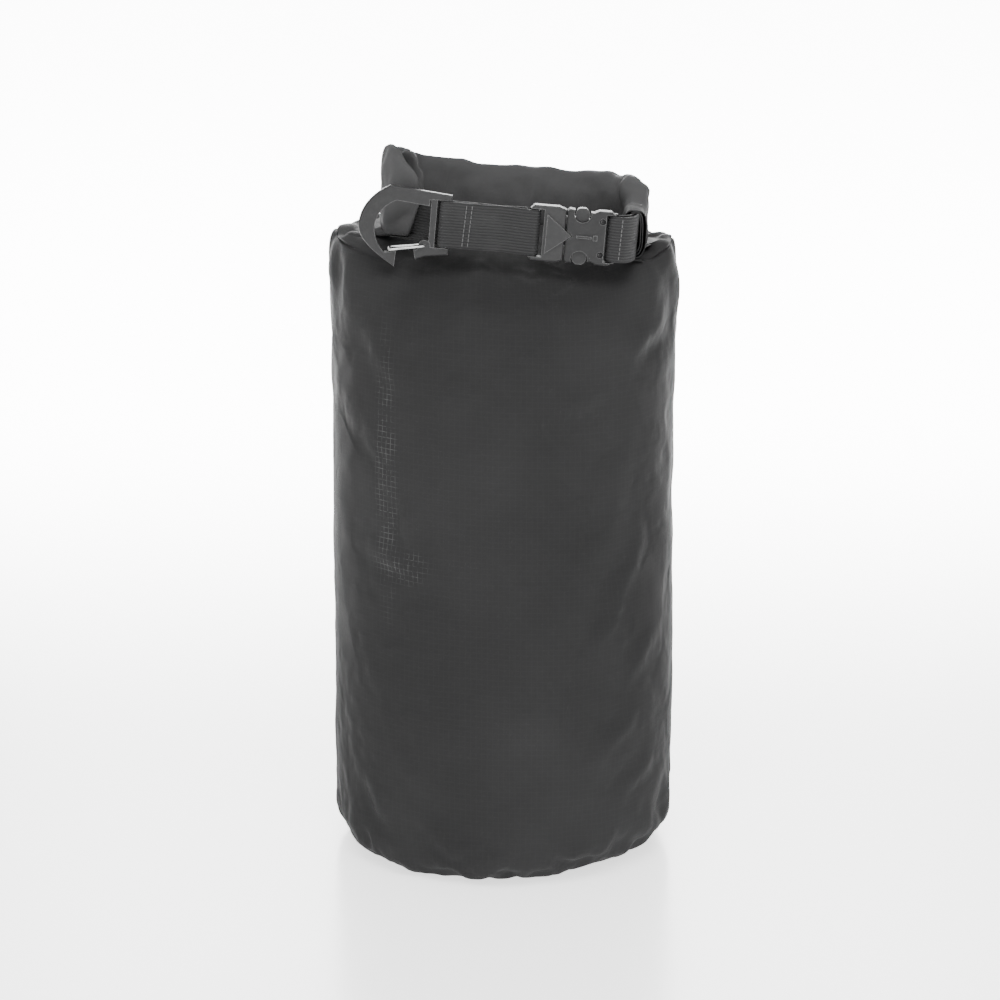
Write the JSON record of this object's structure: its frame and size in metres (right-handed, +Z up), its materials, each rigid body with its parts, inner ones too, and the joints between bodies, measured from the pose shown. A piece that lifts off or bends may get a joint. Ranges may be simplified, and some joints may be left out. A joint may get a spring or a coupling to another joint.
{
  "type": "roll-top dry bag",
  "caption": "Round roll-top dry bag, filled and rolled shut, with a webbing strap, side release buckle and wire gate hook.",
  "frame": {"origin": "on the floor under the middle of the bag", "axes": "+Z up, +X to the right when the strap faces the viewer, -Y to the front where the strap is"},
  "size_m": [0.1924, 0.192, 0.3945],
  "materials": {
    "ripstop": "dark grey coated ripstop, low sheen",
    "webbing": "ribbed dark grey webbing",
    "thread": "grey sewing thread",
    "seam_tape": "satin film",
    "stiffener": "smooth strip",
    "buckle_plastic": "dark moulded acetal, satin",
    "hook_plastic": "dark grey satin",
    "gate_wire": "bright wire"
  },
  "bodies": {
    "bag": {"body_fabric": "ripstop", "base_panel": "ripstop", "base_seam_allowance": "ripstop", "base_seam_tape": "seam_tape", "side_seam_tape": "seam_tape", "rolled_collar": "ripstop", "collar_stiffener_front": "stiffener", "collar_stiffener_back": "stiffener", "strap_webbing": "webbing", "strap_stitching": "thread", "tab_webbing": "webbing", "tab_stitching": "thread", "buckle_socket": "buckle_plastic"},
    "plug": {"buckle_plug": "buckle_plastic"},
    "prong_upper": {"buckle_prong_upper": "buckle_plastic"},
    "prong_lower": {"buckle_prong_lower": "buckle_plastic"},
    "hook": {"hook_body": "hook_plastic"},
    "gate": {"hook_wire_gate": "gate_wire"}
  },
  "joints": [
    {"name": "plug_slide", "type": "slide", "parent": "bag", "child": "plug", "axis": [-0.9962, 0, 0.0872], "range_m": [0, 0.02], "deforming": ["strap_webbing", "buckle_prong_upper", "buckle_prong_lower"]},
    {"name": "prong_upper_squeeze", "type": "hinge", "parent": "plug", "child": "prong_upper", "pos_m": [0.03558, -0.064, 0.37235], "axis": [0, 1, 0], "range_deg": [0, 8], "stiffness_Nm_per_rad": 0.5},
    {"name": "prong_lower_squeeze", "type": "hinge", "parent": "plug", "child": "prong_lower", "pos_m": [0.03419, -0.064, 0.35642], "axis": [0, -1, 0], "range_deg": [0, 8], "stiffness_Nm_per_rad": 0.5},
    {"name": "hook_swing", "type": "hinge", "parent": "bag", "child": "hook", "pos_m": [-0.03126, -0.064, 0.37017], "axis": [0.0872, 0, 0.9962], "range_deg": [-4, 95]},
    {"name": "gate_open", "type": "hinge", "parent": "hook", "child": "gate", "pos_m": [-0.0425, -0.064, 0.35871], "axis": [0, 1, 0], "range_deg": [0, 25], "stiffness_Nm_per_rad": 0.15}
  ]
}
